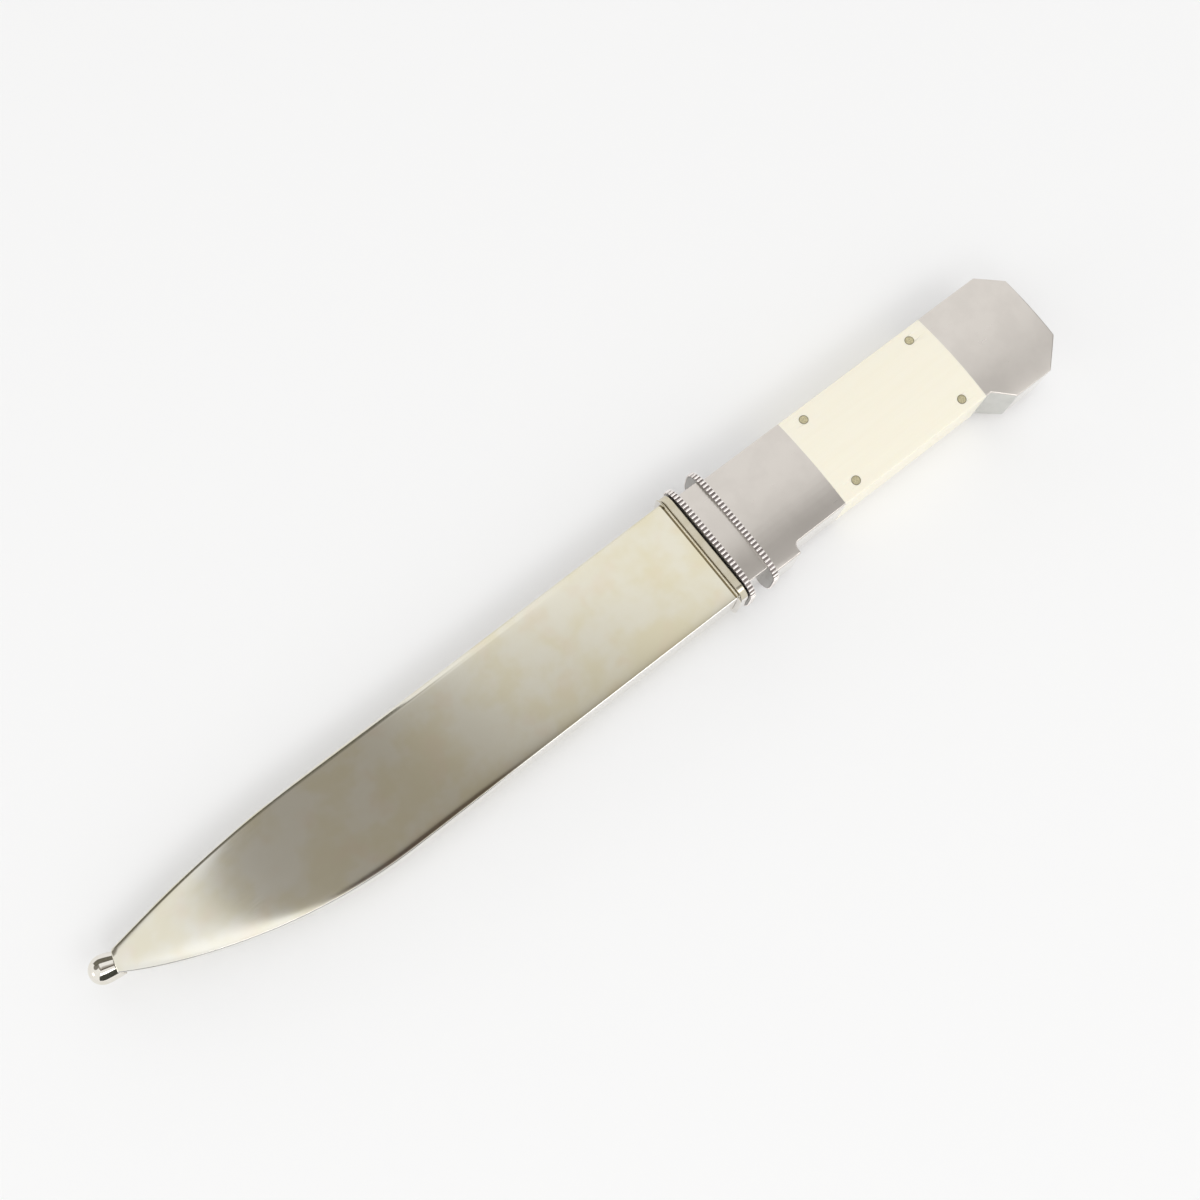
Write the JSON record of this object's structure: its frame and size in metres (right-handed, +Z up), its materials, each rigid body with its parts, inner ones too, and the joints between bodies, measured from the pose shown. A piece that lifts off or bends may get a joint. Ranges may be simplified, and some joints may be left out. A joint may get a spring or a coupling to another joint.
{
  "type": "knife in sheath",
  "caption": "Bowie-type knife with cream grip scales, milled guard collars and a hooked pommel, lying in its closed metal sheath with a ball tip.",
  "frame": {"origin": "middle of the underside of the closed knife and sheath, below the middle of its overall box", "axes": "+X along the knife toward the pommel, +Y toward the blade's spine, +Z up out of the sheath's front face"},
  "size_m": [0.3282, 0.0412, 0.0212],
  "materials": {
    "blade_steel": "satin",
    "nickel_silver": "polished",
    "sheath_metal": "brushed",
    "ivory_scale": "satin",
    "pin_brass": "satin",
    "core_wood": "raw"
  },
  "bodies": {
    "sheath": {"sheath_front": "sheath_metal", "sheath_back": "sheath_metal", "sheath_spine": "sheath_metal", "sheath_belly": "sheath_metal", "sheath_tip": "sheath_metal", "mouth_plate": "sheath_metal", "throat_band": "sheath_metal", "throat_bead": "sheath_metal", "core_front": "core_wood", "core_back": "core_wood", "core_spine": "core_wood", "core_belly": "core_wood", "ball_seat": "sheath_metal", "tip_ball": "sheath_metal", "ball_peg": "nickel_silver"},
    "knife": {"blade": "blade_steel", "front_collar": "nickel_silver", "guard_block": "nickel_silver", "rear_collar": "nickel_silver", "bolster": "nickel_silver", "bolster_pin": "nickel_silver", "scale_front": "ivory_scale", "scale_back": "ivory_scale", "scale_pins": "pin_brass", "pommel": "nickel_silver", "pommel_pin": "nickel_silver"}
  },
  "joints": [
    {"name": "draw", "type": "slide", "parent": "sheath", "child": "knife", "axis": [1, 0, 0], "range_m": [0, 0.2]}
  ]
}
